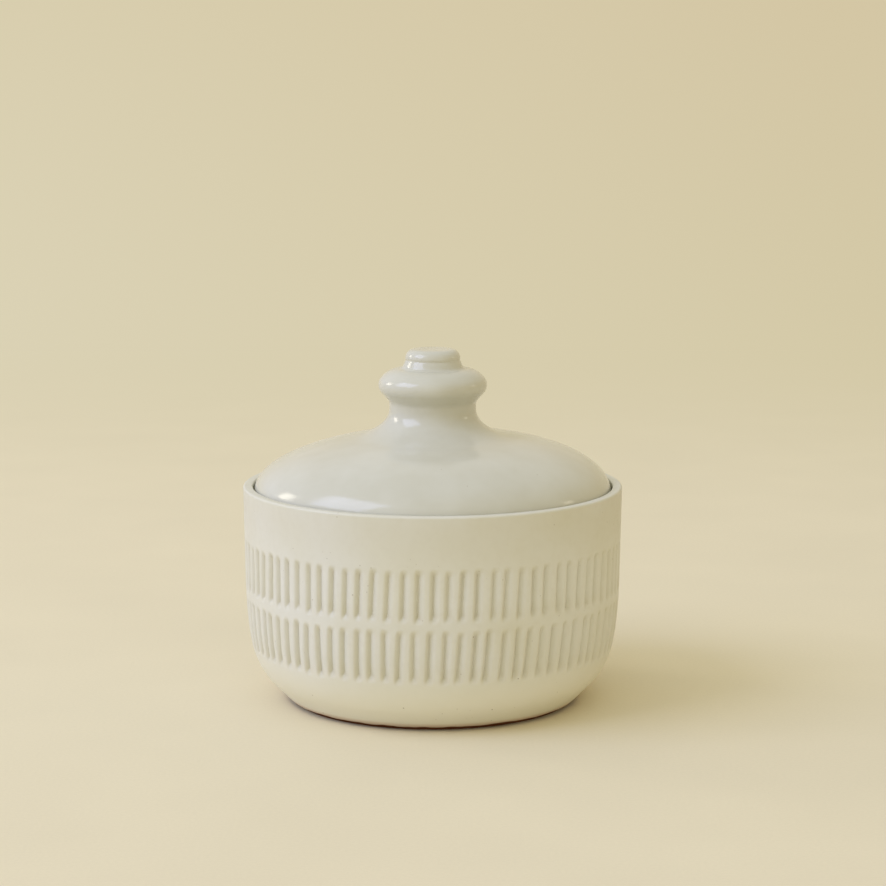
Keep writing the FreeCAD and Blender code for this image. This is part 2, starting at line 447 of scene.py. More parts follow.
def flute_tree():
    """The node tree that presses one band of flutes into a turned wall, each a little out of true."""
    tree = bpy.data.node_groups.new(PREFIX + "press_flutes", "GeometryNodeTree")
    tree.interface.new_socket("Wall", in_out="INPUT", socket_type="NodeSocketGeometry")
    for kind, names in (
        ("NodeSocketFloat", ("Outside from", *BAND_SIZES, *SHARED_SIZES)),
        ("NodeSocketInt", ("Flutes", "Seed")),
        ("NodeSocketMaterial", ("Glaze",)),
    ):
        for name in names:
            tree.interface.new_socket(name, in_out="INPUT", socket_type=kind)
    tree.interface.new_socket("Fluted wall", in_out="OUTPUT", socket_type="NodeSocketGeometry")
    add = partial(add_node, tree)
    given = add("NodeGroupInput").outputs

    # Where a point stands: the flute it belongs to, and how far it is across that flute.
    place = add("ShaderNodeSeparateXYZ", (add("GeometryNodeInputPosition"),)).outputs
    front = add(MATH, (place["Y"], -1.0), operation="MULTIPLY")
    bearing = add(MATH, (place["X"], front), operation="ARCTAN2")
    level = add("ShaderNodeCombineXYZ", (place["X"], place["Y"]))
    radius = add("ShaderNodeVectorMath", (level,), operation="LENGTH").outputs["Value"]
    outside = add(MATH, (radius, given["Outside from"]), operation="GREATER_THAN")
    pitch = add(MATH, (math.tau, given["Flutes"]), operation="DIVIDE")
    centre = given["Bottom"]
    for operation, by in (("ADD", given["Top"]), ("MULTIPLY", 0.5)):
        centre = add(MATH, (centre, by), operation=operation)
    slanted = place["Z"]
    for operation, by in (("SUBTRACT", centre), ("MULTIPLY", given["Slant"]), ("DIVIDE", radius)):
        slanted = add(MATH, (slanted, by), operation=operation)
    cells = bearing
    for operation, by in (("SUBTRACT", given["Turn"]), ("SUBTRACT", slanted), ("DIVIDE", pitch)):
        cells = add(MATH, (cells, by), operation=operation)
    nearest = add(MATH, (cells,), operation="ROUND")
    flute = add(MATH, (nearest, given["Flutes"]), operation="FLOORED_MODULO")
    share = add(MATH, (cells, nearest), operation="SUBTRACT")
    pitch_length = add(MATH, (pitch, radius), operation="MULTIPLY")
    across = add(MATH, (share, pitch_length), operation="MULTIPLY")
    aside = add(MATH, (across,), operation="ABSOLUTE")

    # What is drawn for that flute, where its ends are, and how high on it the point is.
    draws = []
    for number, (low, high) in enumerate(FLUTE_DRAWS):
        seed = add(MATH, (given["Seed"], float(number)), operation="ADD")
        draw = add("FunctionNodeRandomValue", {"Min": low, "Max": high, "ID": flute, "Seed": seed},
                   data_type="FLOAT")
        draws.append(draw.outputs["Value"])
    stray, lean, deep, end_low, end_high = draws
    bottom = add(MATH, (given["Bottom"], end_low), operation="ADD")
    top = add(MATH, (given["Top"], end_high), operation="ADD")
    middle = bottom
    for operation, by in (("ADD", top), ("MULTIPLY", 0.5)):
        middle = add(MATH, (middle, by), operation=operation)
    above = add(MATH, (place["Z"], middle), operation="SUBTRACT")
    along = add(MATH, (above,), operation="ABSOLUTE")
    half = add(MATH, (top, middle), operation="SUBTRACT")

    # The flute's hollow: a steep wall on the left and a gentle one on the right, and ends that run out over
    # about 2 mm, with round corners. It counts from 0 at the deepest line to 1 at the lip.
    from_deepest = add(MATH, (across, given["Offset"]), operation="ADD")
    steep = from_deepest
    for operation, by in (("DIVIDE", given["Steep side"]), ("MULTIPLY", -1.0)):
        steep = add(MATH, (steep, by), operation=operation)
    gentle = add(MATH, (from_deepest, given["Gentle side"]), operation="DIVIDE")
    beside = add(MATH, (steep, gentle), operation="MAXIMUM")
    upper = add(MATH, (place["Z"], top), operation="SUBTRACT")
    upper = add(MATH, (upper, given["Top ease"]), operation="DIVIDE")
    lower = add(MATH, (bottom, place["Z"]), operation="SUBTRACT")
    lower = add(MATH, (lower, given["Bottom ease"]), operation="DIVIDE")
    ends = upper
    for operation, by in (("MAXIMUM", lower), ("ADD", 1.0)):
        ends = add(MATH, (ends, by), operation=operation)
    beyond = []
    for over in (beside, ends):
        over = add(MATH, (over, 0.0), operation="MAXIMUM")
        beyond.append(add(MATH, (over, CORNER_POWER), operation="POWER"))
    to_lip = beyond[0]
    for operation, by in (("ADD", beyond[1]), ("POWER", 1 / CORNER_POWER)):
        to_lip = add(MATH, (to_lip, by), operation=operation)
    inward = add(MAP_RANGE, (to_lip, 0.0, 1.0, 1.0, 0.0))
    for operation, by in (("POWER", HOLLOW_POWER), ("MULTIPLY", deep), ("MULTIPLY", given["Depth"]),
                          ("MULTIPLY", -1.0)):
        inward = add(MATH, (inward, by), operation=operation)

    # Sideways stray and lean, which fade out towards the neighbours and past the ends.
    crest = add(MATH, (pitch_length, 0.5), operation="MULTIPLY")
    edge = add(MATH, (crest, CALM_SHARE), operation="MULTIPLY")
    calm = add(MAP_RANGE, (aside, edge, crest, 1.0, 0.0), interpolation_type="SMOOTHSTEP")
    end = add(MATH, (half, FADE_LENGTH), operation="ADD")
    ended = add(MAP_RANGE, (along, half, end, 1.0, 0.0))
    stray = add(MATH, (stray, given["Wander"]), operation="MULTIPLY")
    for by in (given["Lean"], above):
        lean = add(MATH, (lean, by), operation="MULTIPLY")
    sideways = add(MATH, (stray, lean), operation="ADD")
    for by in (calm, ended):
        sideways = add(MATH, (sideways, by), operation="MULTIPLY")
    normal = add("GeometryNodeInputNormal")
    tangent = add("ShaderNodeVectorMath", ((0, 0, 1), normal), operation="CROSS_PRODUCT")
    shift = add("ShaderNodeVectorMath", {0: tangent, "Scale": sideways}, operation="SCALE")
    press = add("ShaderNodeVectorMath", {0: normal, "Scale": inward}, operation="SCALE")
    offset = add("ShaderNodeVectorMath", (shift, press), operation="ADD")

    # How much glaze gathers, most at the lower end, kept on the points for the material to read: pooled
    # glaze and painted shade in the hollow.
    gathered_and_shaded = add(MAP_RANGE, (lower, GATHER_SHADE_START, GATHER_SHADE_END, GATHER_SHADE_LEAST, GATHER_SHADE_MOST),
                   interpolation_type="SMOOTHSTEP")
    pool_and_shade = add(MAP_RANGE, (to_lip, POOL_SHADE_FULL, POOL_SHADE_GONE, 1.0, 0.0), interpolation_type="SMOOTHSTEP")
    earlier = add("GeometryNodeInputNamedAttribute", {"Name": POOL_AND_SHADE}, data_type="FLOAT")
    for operation, by in (("MULTIPLY", gathered_and_shaded), ("MULTIPLY", outside), ("MAXIMUM", earlier)):
        pool_and_shade = add(MATH, (pool_and_shade, by), operation=operation)
    stored = add("GeometryNodeStoreNamedAttribute", {"Geometry": given["Wall"], "Name": POOL_AND_SHADE, "Value": pool_and_shade},
                 data_type="FLOAT", domain="POINT")
    pressed = add("GeometryNodeSetPosition", {"Geometry": stored, "Selection": outside, "Offset": offset})
    real = add("GeometryNodeRealizeInstances", (pressed,))
    glazed = add("GeometryNodeSetMaterial", {"Geometry": real, "Material": given["Glaze"]})
    add("NodeGroupOutput", (glazed,))
    return tree


def press_band(piece, tree, name, values):
    """Presses one band of flutes: the modifier's inputs are set by identifier before it is evaluated."""
    modifier = piece.modifiers.new(name, "NODES")
    modifier.node_group = tree
    for socket in tree.interface.items_tree:
        if socket.item_type == "SOCKET" and socket.in_out == "INPUT" and socket.name in values:
            modifier[socket.identifier] = values[socket.name]


def plain(piece):
    """Turns a piece and its modifiers into a plain mesh."""
    evaluated = piece.evaluated_get(bpy.context.evaluated_depsgraph_get())
    mesh = bpy.data.meshes.new_from_object(evaluated)
    piece.modifiers.clear()
    old, piece.data = piece.data, mesh
    bpy.data.meshes.remove(old)


def new_piece(name, data):
    piece = bpy.data.objects.new(name, data)
    bpy.context.scene.collection.objects.link(piece)
    return piece


def hand_over(piece, body, node):
    """Gives a finished piece its body, and hides the CAD node that it stands for."""
    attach(piece, body)
    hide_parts(node)


class PressedJar(bpy.types.Operator):
    """Turn the jar, press its two bands of flutes and glaze it"""

    bl_idname = "lidded_jar.jar"
    bl_label = "Jar"

    def execute(self, context):
        look = context.scene.lidded_jar
        sizes, flutes = look.jar, look.flutes
        pitch = math.tau / flutes.count
        angles = [pitch * (i + c / 2) for i in range(flutes.count) for c in (-1.0, *FLUTE_COLUMNS)]
        jar = new_piece("glazed_jar", turned("glazed_jar", jar_rows(sizes, flutes), angles))
        tree = flute_tree()
        shared = {name: getattr(flutes, name.lower().replace(" ", "_")) for name in SHARED_SIZES}
        shared["Outside from"] = (sizes.ledge_radius + wall_radius(sizes, flutes.lower_bottom)) / 2
        shared["Flutes"] = flutes.count
        shared["Glaze"] = cream_glaze(look.glazes, sizes)
        for band, seed in (("upper", flutes.seed), ("lower", flutes.seed + LOWER_SEED)):
            own = {name: getattr(flutes, band + "_" + name.lower()) for name in BAND_SIZES}
            press_band(jar, tree, band + " flutes", {**shared, **own, "Seed": seed})
        plain(jar)
        hand_over(jar, "jar", "jar_body")
        return {"FINISHED"}


# The lid's outline.

# Places in degrees above level: where the bulge's curve starts and passes to its crown, where that ends, and
# the stretch of the ceiling's curve that shows.
BULGE_START, BULGE_CROWN, CROWN_END = -42, 40, 80
CEILING_START, CEILING_END = 83, 10
DOME_STEPS = 120

# Small sizes from the space inside the knob, over the seat, to the button.
HOLLOW_TOP_ROUNDING = 0.0055
HOLLOW_WALL_BELOW_TOP = 0.006
HOLLOW_WALL_ABOVE_CEILING = 0.004
HOLLOW_FOOT_ROUNDING = 0.0022
SEAT_INNER_ROUNDING = 0.0007
SEAT_OUTER_ROUNDING = 0.0005
EDGE_START = 0.0004
BUTTON_FOOT_ROUNDING = 0.0013
BUTTON_FLARE_BELOW = 0.0003
BUTTON_FLARE = 0.0002
CREASE_BELOW, CREASE_ABOVE = 0.0004, 0.0006
CREASE_ROUNDING, CREASE_UPPER_ROUNDING = 0.0003, 0.0004
BUTTON_TOP_SHARE = 0.45
BUTTON_TOP_ROUNDING = 0.004
BUTTON_DISH = 0.00005


def dome_curve(s):
    """A quarter of an oval with fuller shoulders than an ellipse, from the lid's edge up to the axis."""
    power = 2 / s.dome_fullness
    base = s.seat_height + s.edge_height
    width = s.edge_radius - s.dome_centre
    curve = []
    for i in range(DOME_STEPS + 1):
        t = math.radians(90 * i / DOME_STEPS)
        curve.append((s.dome_centre + width * math.cos(t) ** power,
                      base + s.dome_rise * math.sin(t) ** power))
    return curve


def neck_curve(s, dome):
    """The hollow curve that rests on the dome and rises into the neck, and how much dome stays below it.

    Its ellipse is lowered onto the dome, and where it comes to rest is the point that would hold it highest.
    """
    reach = s.neck_radius + s.neck_flare
    heights = []
    for radius, height in dome:
        aside = (reach - radius) / s.neck_flare
        heights.append(height + s.neck_rise * math.sqrt(1 - aside ** 2) if abs(aside) < 1 else 0)
    rest = max(range(len(dome)), key=heights.__getitem__)
    start = math.degrees(math.acos((dome[rest][0] - reach) / s.neck_flare))
    return rest, arc((reach, heights[rest]), s.neck_flare, s.neck_rise, 360 - start, 180, steps=24)


def bulge_curve(s):
    """The knob's bulge, from under its nose to its crown, and the crown's height."""
    nose = (s.nose_centre, s.nose_height)
    passing = math.radians(BULGE_CROWN)
    crown = (nose[0] + (s.nose_radius - s.crown_radius) * math.cos(passing),
             nose[1] + (s.nose_radius - s.crown_radius) * math.sin(passing))
    curve = arc(nose, s.nose_radius, s.nose_radius, BULGE_START, BULGE_CROWN, steps=20)
    curve += arc(crown, s.crown_radius, s.crown_radius, BULGE_CROWN, CROWN_END, steps=12)[1:]
    return curve, crown[1] + s.crown_radius


def lid_rows(s):
    """The lid's outline as rows for turned(): down its hollow, out to the seat, up to the button."""
    dome = dome_curve(s)
    rest, neck = neck_curve(s, dome)
    bulge, crown_top = bulge_curve(s)
    start = math.radians(-BULGE_START)
    collar = bulge[0][1] - (bulge[0][0] - s.neck_radius) / math.tan(start)
    ceiling = arc((s.dome_centre, s.seat_height), s.seat_radius - s.dome_centre, s.ceiling_rise,
                  CEILING_START, CEILING_END, steps=22)
    ceiling_height = ceiling[0][1]
    flare = s.button_radius + BUTTON_FLARE
    top = LID_HIGH.z
    outline = eased([
        (0, s.hollow_top),
        (s.hollow_radius, s.hollow_top, HOLLOW_TOP_ROUNDING),
        *even((s.hollow_radius, s.hollow_top - HOLLOW_WALL_BELOW_TOP),
              (s.hollow_radius, ceiling_height + HOLLOW_WALL_ABOVE_CEILING), parts=4),
        (s.hollow_radius, ceiling_height, HOLLOW_FOOT_ROUNDING),
        *ceiling[2:],
        (s.seat_radius, s.seat_height, SEAT_INNER_ROUNDING),
        (s.edge_radius, s.seat_height, SEAT_OUTER_ROUNDING),
        *even((s.edge_radius, s.seat_height + EDGE_START), dome[0], parts=3),
        *dome[:rest],
        *neck,
        (s.neck_radius, collar, s.collar_rounding),
        *bulge,
        (s.button_foot, crown_top, BUTTON_FOOT_ROUNDING),
        (s.button_radius + BUTTON_FLARE_BELOW, s.crease_height - CREASE_BELOW, CREASE_ROUNDING),
        (flare - s.crease_depth, s.crease_height, CREASE_ROUNDING),
        (flare, s.crease_height + CREASE_ABOVE, CREASE_UPPER_ROUNDING),
        (s.button_radius, top, s.button_rounding),
        (s.button_radius * BUTTON_TOP_SHARE, top, BUTTON_TOP_ROUNDING),
        (0, top - BUTTON_DISH),
    ])
    return [(radius, height, 1, 0) for radius, height in outline]


def settle(mesh, s):
    """Lets the dome's two shoulders settle unevenly, most halfway out. Seat, edge and knob stay true."""
    inner = s.neck_radius + s.neck_flare / 2
    for point in mesh.vertices:
        share = (math.hypot(point.co.x, point.co.y) - inner) / (s.edge_radius - inner)
        if 0 < share < 1:
            free = min(1, max(0, point.co.z - s.seat_height) / s.edge_height)
            point.co.z += s.sag * 4 * share * (1 - share) * free * point.co.x / s.edge_radius


class DomedLid(bpy.types.Operator):
    """Turn the lid with its neck, bulge and button, and glaze it"""

    bl_idname = "lidded_jar.lid"
    bl_label = "Lid"

    def execute(self, context):
        look = context.scene.lidded_jar
        angles = [math.tau * i / LID_COLUMNS for i in range(LID_COLUMNS)]
        lid = new_piece("glazed_lid", turned("glazed_lid", lid_rows(look.lid), angles))
        settle(lid.data, look.lid)
        lid.data.materials.append(grey_glaze(look.glazes, look.lid))
        hand_over(lid, "lid", "lid")
        return {"FINISHED"}


# Materials.

# How large the patterns are on the real jar, lid and paper. The pinholes are drawn a little wider than real
# ones so that they show, and the paper's fibres coarser.
CREAM_DRIFT = 0.022
CREAM_MOTTLE = 0.0022
SPECK_SPACING = 0.0064
PINHOLE_CLUSTER = 0.015
PINHOLE_SPACING = 0.0024
LINE_WAVER = 0.006
CLAY_GRIT = 0.0005
WORKED_WALL = 0.007
GLAZE_SKIN = 0.0009
GREY_DRIFT = 0.018
GREY_SPECK_SPACING = 0.0058
GREY_SWELL = 0.009
TURNING_RINGS = 0.0024
PAPER_CLOUD = 0.06
PAPER_FIBRE = 0.001

# Heights on the jar between which the painted light on the belly fades out, and the darker tone under the
# rim comes in.
BELLY_LIGHT_FULL_TO, BELLY_LIGHT_GONE_FROM = 0.007, 0.022
RIM_TONE_FROM, RIM_TONE_FULL = 0.044, 0.06

# The glaze line round the foot: where it runs, how far it wavers, and how high the warm edge above it is.
LINE_LOW, LINE_HIGH = 0.0006, 0.0009
WAVER_HEIGHT = 0.0009
WARM_EDGE = 0.0018

# How far the bare clay of the ledge and the seat reaches round their corners.
LEDGE_INSET = 0.0005
BARE_REACH = 0.0003
GALLERY_REACH = 0.0002

BARE_ROUGHNESS = 0.9


def new_material(name):
    material = bpy.data.materials.new(PREFIX + name)
    material.use_nodes = True
    material.node_tree.nodes.clear()
    return material, partial(add_node, material.node_tree)


def whereabouts(add):
    """Where a point lies on its piece: as a vector, as its three coordinates, and how far from the axis."""
    where = add("ShaderNodeTexCoord").outputs["Object"]
    place = add("ShaderNodeSeparateXYZ", (where,)).outputs
    level = add("ShaderNodeCombineXYZ", (place["X"], place["Y"]))
    out = add("ShaderNodeVectorMath", (level,), operation="LENGTH").outputs["Value"]
    return where, place, out


def spots(add, where, spacing, full, gone, strength):
    """Small round spots in random places, one in each cell of a pattern with this spacing."""
    cells = add("ShaderNodeTexVoronoi", {"Vector": where, "Scale": 1 / spacing})
    return add(MAP_RANGE, (cells.outputs["Distance"], full, gone, strength, 0.0))


def cream_glaze(colours, sizes):
    """Satin tin-white glaze on cream stoneware, dipped and fired.

    It gives a soft, broad sheen, a tone that drifts from place to place, fine specks of iron from the clay,
    and pinholes where gas left it. On the foot ring and the lid's ledge, wiped clean for the kiln, the clay
    is bare.
    """
    material, add = new_material("satin_cream_glaze_on_stoneware")
    where, place, out = whereabouts(add)

    # Its tone drifts, with a fine mottle on top.
    drift = add(NOISE, {"Vector": where, "Scale": 1 / CREAM_DRIFT, "Detail": 2.0})
    drifted = add(MAP_RANGE, (drift, 0.35, 0.65))
    mottle = add(NOISE, {"Vector": where, "Scale": 1 / CREAM_MOTTLE, "Detail": 4.0})
    mottled = add(MAP_RANGE, (mottle, 0.45, 0.75, 0.0, 0.14))

    # Painted light: the belly is drawn lighter towards the foot, lifting the shade that falls on it near the
    # table. Under the rim the glaze is drawn darker.
    thick = add(MAP_RANGE, (place["Z"], BELLY_LIGHT_FULL_TO, BELLY_LIGHT_GONE_FROM, 1.0, 0.0), interpolation_type="SMOOTHSTEP")
    thin = add(MAP_RANGE, (place["Z"], RIM_TONE_FROM, RIM_TONE_FULL, 0.0, 0.35), interpolation_type="SMOOTHSTEP")

    # It gathers in a flute, and so shows its own colour there more strongly. This darkening is also painted
    # shade in the hollow, strongest at its lower end.
    pool_and_shade = add("ShaderNodeAttribute", attribute_name=POOL_AND_SHADE).outputs["Fac"]
    pooled_and_shaded = add(MATH, (pool_and_shade, 0.38), operation="MULTIPLY")

    # Iron specks of up to 0.5 mm, about one on each 5 square centimetres.
    speck = spots(add, where, SPECK_SPACING, full=0.022, gone=0.042, strength=0.75)

    # Pinholes of about 0.3 mm, in clusters.
    clusters = add(NOISE, {"Vector": where, "Scale": 1 / PINHOLE_CLUSTER, "Detail": 1.0})
    pitted = add(MAP_RANGE, (clusters, 0.5, 0.62))
    hole = spots(add, where, PINHOLE_SPACING, full=0.045, gone=0.085, strength=1.0)
    pinhole = add(MATH, (hole, pitted), operation="MULTIPLY")
    # Each pinhole is darkened towards the speck colour: painted shade in the pit.
    shaded = add(MATH, (pinhole, 0.5), operation="MULTIPLY")

    # Darker and warmer just above the foot edge, fading out upwards.
    warm_top = sizes.foot_edge_height + WARM_EDGE
    warm = add(MAP_RANGE, (place["Z"], sizes.foot_edge_height, warm_top, 0.6, 0.0),
               interpolation_type="SMOOTHSTEP")
    outside = add(MATH, (out, sizes.foot_radius), operation="GREATER_THAN")
    edge = add(MATH, (warm, outside), operation="MULTIPLY")

    # Bare clay up to a wavering glaze line under the foot edge, and on the ledge.
    waver = add(NOISE, {"Vector": where, "Scale": 1 / LINE_WAVER, "Detail": 1.0})
    waver = add(MATH, (waver, WAVER_HEIGHT), operation="MULTIPLY")
    line = add(MATH, (place["Z"], waver), operation="SUBTRACT")
    foot = add(MAP_RANGE, (line, LINE_LOW, LINE_HIGH, 1.0, 0.0))
    ledge_height = sizes.rim_height - sizes.gallery_depth
    ledge = add(MATH, (line, ledge_height), operation="LESS_THAN")
    for value, operation, limit in (
        (place["Z"], "GREATER_THAN", ledge_height - BARE_REACH),
        (out, "LESS_THAN", sizes.gallery_radius + GALLERY_REACH),
        (out, "GREATER_THAN", sizes.ledge_radius + LEDGE_INSET),
    ):
        test = add(MATH, (value, limit), operation=operation)
        ledge = add(MATH, (ledge, test), operation="MULTIPLY")
    bare = add(MATH, (foot, ledge), operation="MAXIMUM")
    grit = add(NOISE, {"Vector": where, "Scale": 1 / CLAY_GRIT, "Detail": 2.0})
    grains = add(MAP_RANGE, (grit, 0.4, 0.7, 0.0, 0.35))
    # The foot ring's bare clay goes nearly black-brown: its toasted tone, with painted shade where it meets
    # the table.
    toasted = add(MATH, (foot, 0.9), operation="MULTIPLY")
    toasted = add(MATH, (toasted, grains), operation="MAXIMUM")
    clay = add("ShaderNodeMix", {"Factor": toasted, "A": colours.clay, "B": colours.clay_dark_and_shade},
               data_type="RGBA").outputs["Result"]

    # All of these lie one over the other.
    base = colours.cream
    for share, tone in (
        (drifted, colours.cream_thin),
        (mottled, colours.cream_pool_and_shade),
        # The belly's lighter tone is painted light.
        (thick, colours.cream_belly_light),
        (thin, colours.cream_pool_and_shade),
        # Pooled glaze and painted shade in the flutes' hollows.
        (pooled_and_shaded, colours.cream_pool_and_shade),
        (speck, colours.speck),
        (shaded, colours.speck),
        (edge, colours.cream_edge),
        (bare, clay),
    ):
        base = add("ShaderNodeMix", {"Factor": share, "A": base, "B": tone},
                   data_type="RGBA").outputs["Result"]

    # Sheen: a satin skin, drier towards the rim, and matt on the clay.
    satin = add(MAP_RANGE, (mottle, 0.3, 0.7, 0.34, 0.46))
    satin = add(MATH, (thin, 0.45, satin), operation="MULTIPLY_ADD")
    rough = add("ShaderNodeMix", {"Factor": bare, "A": satin, "B": BARE_ROUGHNESS},
                data_type="FLOAT").outputs["Result"]
    sheen = add("ShaderNodeMix", {"Factor": bare, "A": 0.5, "B": 0.1}, data_type="FLOAT").outputs["Result"]

    # Relief, in millimetres: hand-worked wall under the glaze, its fine skin, the pinholes, the clay's grit.
    work = add(NOISE, {"Vector": where, "Scale": 1 / WORKED_WALL, "Detail": 2.0})
    skin = add(NOISE, {"Vector": where, "Scale": 1 / GLAZE_SKIN, "Detail": 3.0})
    bare_grit = add(MATH, (grit, bare), operation="MULTIPLY")
    height = add(MATH, (work, 0.06), operation="MULTIPLY")
    for part, depth in ((skin, 0.012), (pinhole, -0.05), (bare_grit, 0.12)):
        height = add(MATH, (part, depth, height), operation="MULTIPLY_ADD")
    relief = add("ShaderNodeBump", {"Height": height, "Distance": MILLIMETRE})

    shader = add("ShaderNodeBsdfPrincipled",
                 {"Base Color": base, "Roughness": rough, "IOR": 1.5, "Specular IOR Level": sheen,
                  "Normal": relief})
    add("ShaderNodeOutputMaterial", {"Surface": shader})
    return material


def grey_glaze(colours, sizes):
    """Glossy grey-white glaze, dipped and fired to a glassy skin.

    It mirrors the windows in sharp, slightly wavy patches, shows faint rings where the dome was turned, and
    its tone drifts with its thickness. The seat, wiped clean for the kiln, is bare clay.
    """
    material, add = new_material("glossy_grey_white_glaze")
    where, place, out = whereabouts(add)
    drift = add(NOISE, {"Vector": where, "Scale": 1 / GREY_DRIFT, "Detail": 3.0})
    drifted = add(MAP_RANGE, (drift, 0.35, 0.65))

    # Specks of up to 0.4 mm, fainter than the jar's, and bare clay on the seat.
    speck = spots(add, where, GREY_SPECK_SPACING, full=0.016, gone=0.036, strength=0.5)
    seat = add(MATH, (place["Z"], sizes.seat_height + BARE_REACH), operation="LESS_THAN")
    base = colours.grey
    for share, tone in ((drifted, colours.grey_thick), (speck, colours.speck), (seat, colours.clay)):
        base = add("ShaderNodeMix", {"Factor": share, "A": base, "B": tone},
                   data_type="RGBA").outputs["Result"]
    gloss = add(MAP_RANGE, (drift, 0.3, 0.7, 0.12, 0.17))
    rough = add("ShaderNodeMix", {"Factor": seat, "A": gloss, "B": BARE_ROUGHNESS},
                data_type="FLOAT").outputs["Result"]

    # Relief, in millimetres: a slow swell of the glaze, and the turning rings.
    swell = add(NOISE, {"Vector": where, "Scale": 1 / GREY_SWELL, "Detail": 1.0})
    rings = add(NOISE, {"W": out, "Scale": 1 / TURNING_RINGS, "Detail": 1.0}, noise_dimensions="1D")
    height = add(MATH, (swell, 0.09), operation="MULTIPLY")
    height = add(MATH, (rings, 0.010, height), operation="MULTIPLY_ADD")
    relief = add("ShaderNodeBump", {"Height": height, "Distance": MILLIMETRE})

    shader = add("ShaderNodeBsdfPrincipled",
                 {"Base Color": base, "Roughness": rough, "IOR": 1.52, "Normal": relief})
    add("ShaderNodeOutputMaterial", {"Surface": shader})
    return material


# The stage: seamless paper, light and camera.

# Lamps stand in for the windows that the glaze mirrors: where each is seen from the jar, in degrees to the
# right of the camera's side and above the table, how wide and tall it looks from there, and how bright and
# what colour.
WINDOWS = (
    ("near_window", -68, 40, 38, 34, 3.7, "#C7D2FF"),
    ("far_window", -114, 21, 12, 15, 5.2, "#FFF8E6"),
    ("right_glow", 98, 17, 8, 8, 3.0, "#FFF4DC"),
)
WINDOW_DISTANCE = 2.0
WINDOW_AIM = (0, 0, 0.05)

# The room's even light: which way each share of it comes from, how bright it is and its colour.
ROOM = (
    ("left", (-1, 0, 0), 0.87, "#ECECFF"),
    ("right", (0.96, 0, -0.28), 0.69, "#FFDFA0"),
    ("front", (0, -1, 0), 0.92, "#FFF9E1"),
    ("back", (0, 1, 0), 0.76, "#FFEDC7"),
    ("above", (0, 0, 1), 0.84, "#FEFFF4"),
)

# The paper lies flat from in front of the camera to behind the jar, and then sweeps up.
PAPER_SIDE = 3.0
PAPER_FRONT = -3.0
PAPER_FOLD = -0.5
SWEEP_START = 0.9
SWEEP_RADIUS = 0.6
SWEEP_END = -30

# Where the camera sees a painted glow in place of the lit paper: from how far behind the jar on, and how its
# sides and its rise divide that glow.
TONE_STARTS, TONE_FULL = 0.25, 0.85
TONE_SIDE = 0.3
TONE_RISE = 0.25
FIBRE_RELIEF = 0.00003

# The camera, fitted to the photograph's outlines: its place, and how far it looks down, to the right and
# rolls, in degrees.
CAMERA_PLACE = (0, -0.78136, 0.19600)
CAMERA_DOWN = 8.815
CAMERA_RIGHT = 0.2189
CAMERA_ROLL = 0.0864
SENSOR_WIDTH = 36.0
CLIP_START, CLIP_END = 0.02, 20.0


def paper_material(look):
    """Matt seamless paper, pressed smooth: a fine fibrous grain and a slightly cloudy tone.

    Far behind the jar the camera sees a painted glow in place of the lit paper, which would show the lamps'
    unevenness as a band.
    """
    material, add = new_material("matt_seamless_paper")
    where = add("ShaderNodeTexCoord").outputs["Object"]
    place = add("ShaderNodeSeparateXYZ", (where,)).outputs
    patterns = []
    for size, detail in ((PAPER_CLOUD, 2.0), (PAPER_FIBRE, 3.0)):
        noise = add(NOISE, {"Vector": where, "Scale": 1 / size, "Detail": detail})
        patterns.append((noise, add(MAP_RANGE, (noise, 0.3, 0.7, 0.985, 1.015))))
    (_, cloud), (fibre, grain) = patterns
    tone = add(MATH, (cloud, grain), operation="MULTIPLY")
    base = add("ShaderNodeVectorMath", {0: look.paper, "Scale": tone}, operation="SCALE")
    relief = add("ShaderNodeBump", {"Height": fibre, "Distance": FIBRE_RELIEF})
    paper = add("ShaderNodeBsdfPrincipled",
                {"Base Color": base, "Roughness": 0.95, "IOR": 1.3, "Normal": relief})

    # The painted glow: darker to the right and as the paper rises, where the room's light falls off.
    rise = add(MAP_RANGE, (place["Z"], 0.0, TONE_RISE))
    side = add(MAP_RANGE, (place["X"], -TONE_SIDE, TONE_SIDE))
    low, high = (
        add("ShaderNodeMix", {"Factor": side, "A": left, "B": right}, data_type="RGBA").outputs["Result"]
        for left, right in ((look.far_left, look.far_right), (look.top_left, look.top_right)))
    seen = add("ShaderNodeMix", {"Factor": rise, "A": low, "B": high}, data_type="RGBA").outputs["Result"]
    painted_glow = add("ShaderNodeEmission", {"Color": seen})
    far = add(MAP_RANGE, (place["Y"], TONE_STARTS, TONE_FULL), interpolation_type="SMOOTHSTEP")
    camera = add("ShaderNodeLightPath").outputs["Is Camera Ray"]
    share = add(MATH, (far, camera), operation="MULTIPLY")
    both = add("ShaderNodeMixShader", (share, paper, painted_glow))
    add("ShaderNodeOutputMaterial", {"Surface": both})
    return material


def room_light(fill):
    """Soft light from all round, a share of it from each side of the room."""
    world = bpy.data.worlds.new("room")
    world.use_nodes = True
    world.node_tree.nodes.clear()
    add = partial(add_node, world.node_tree)
    way = add("ShaderNodeTexCoord").outputs["Generated"]
    light = (0, 0, 0)
    for name, side, bright, code in ROOM:
        share = add("ShaderNodeVectorMath", (way, side), operation="DOT_PRODUCT").outputs["Value"]
        for operation, by in (("MAXIMUM", 0.0), ("POWER", 2.0), ("MULTIPLY", bright)):
            share = add(MATH, (share, by), operation=operation)
        part = add("ShaderNodeVectorMath", {0: linear(code), "Scale": share}, operation="SCALE")
        part.label = name
        light = add("ShaderNodeVectorMath", (light, part), operation="ADD")
    room = add("ShaderNodeBackground", {"Color": light, "Strength": fill})
    add("ShaderNodeOutputWorld", {"Surface": room})
    return world


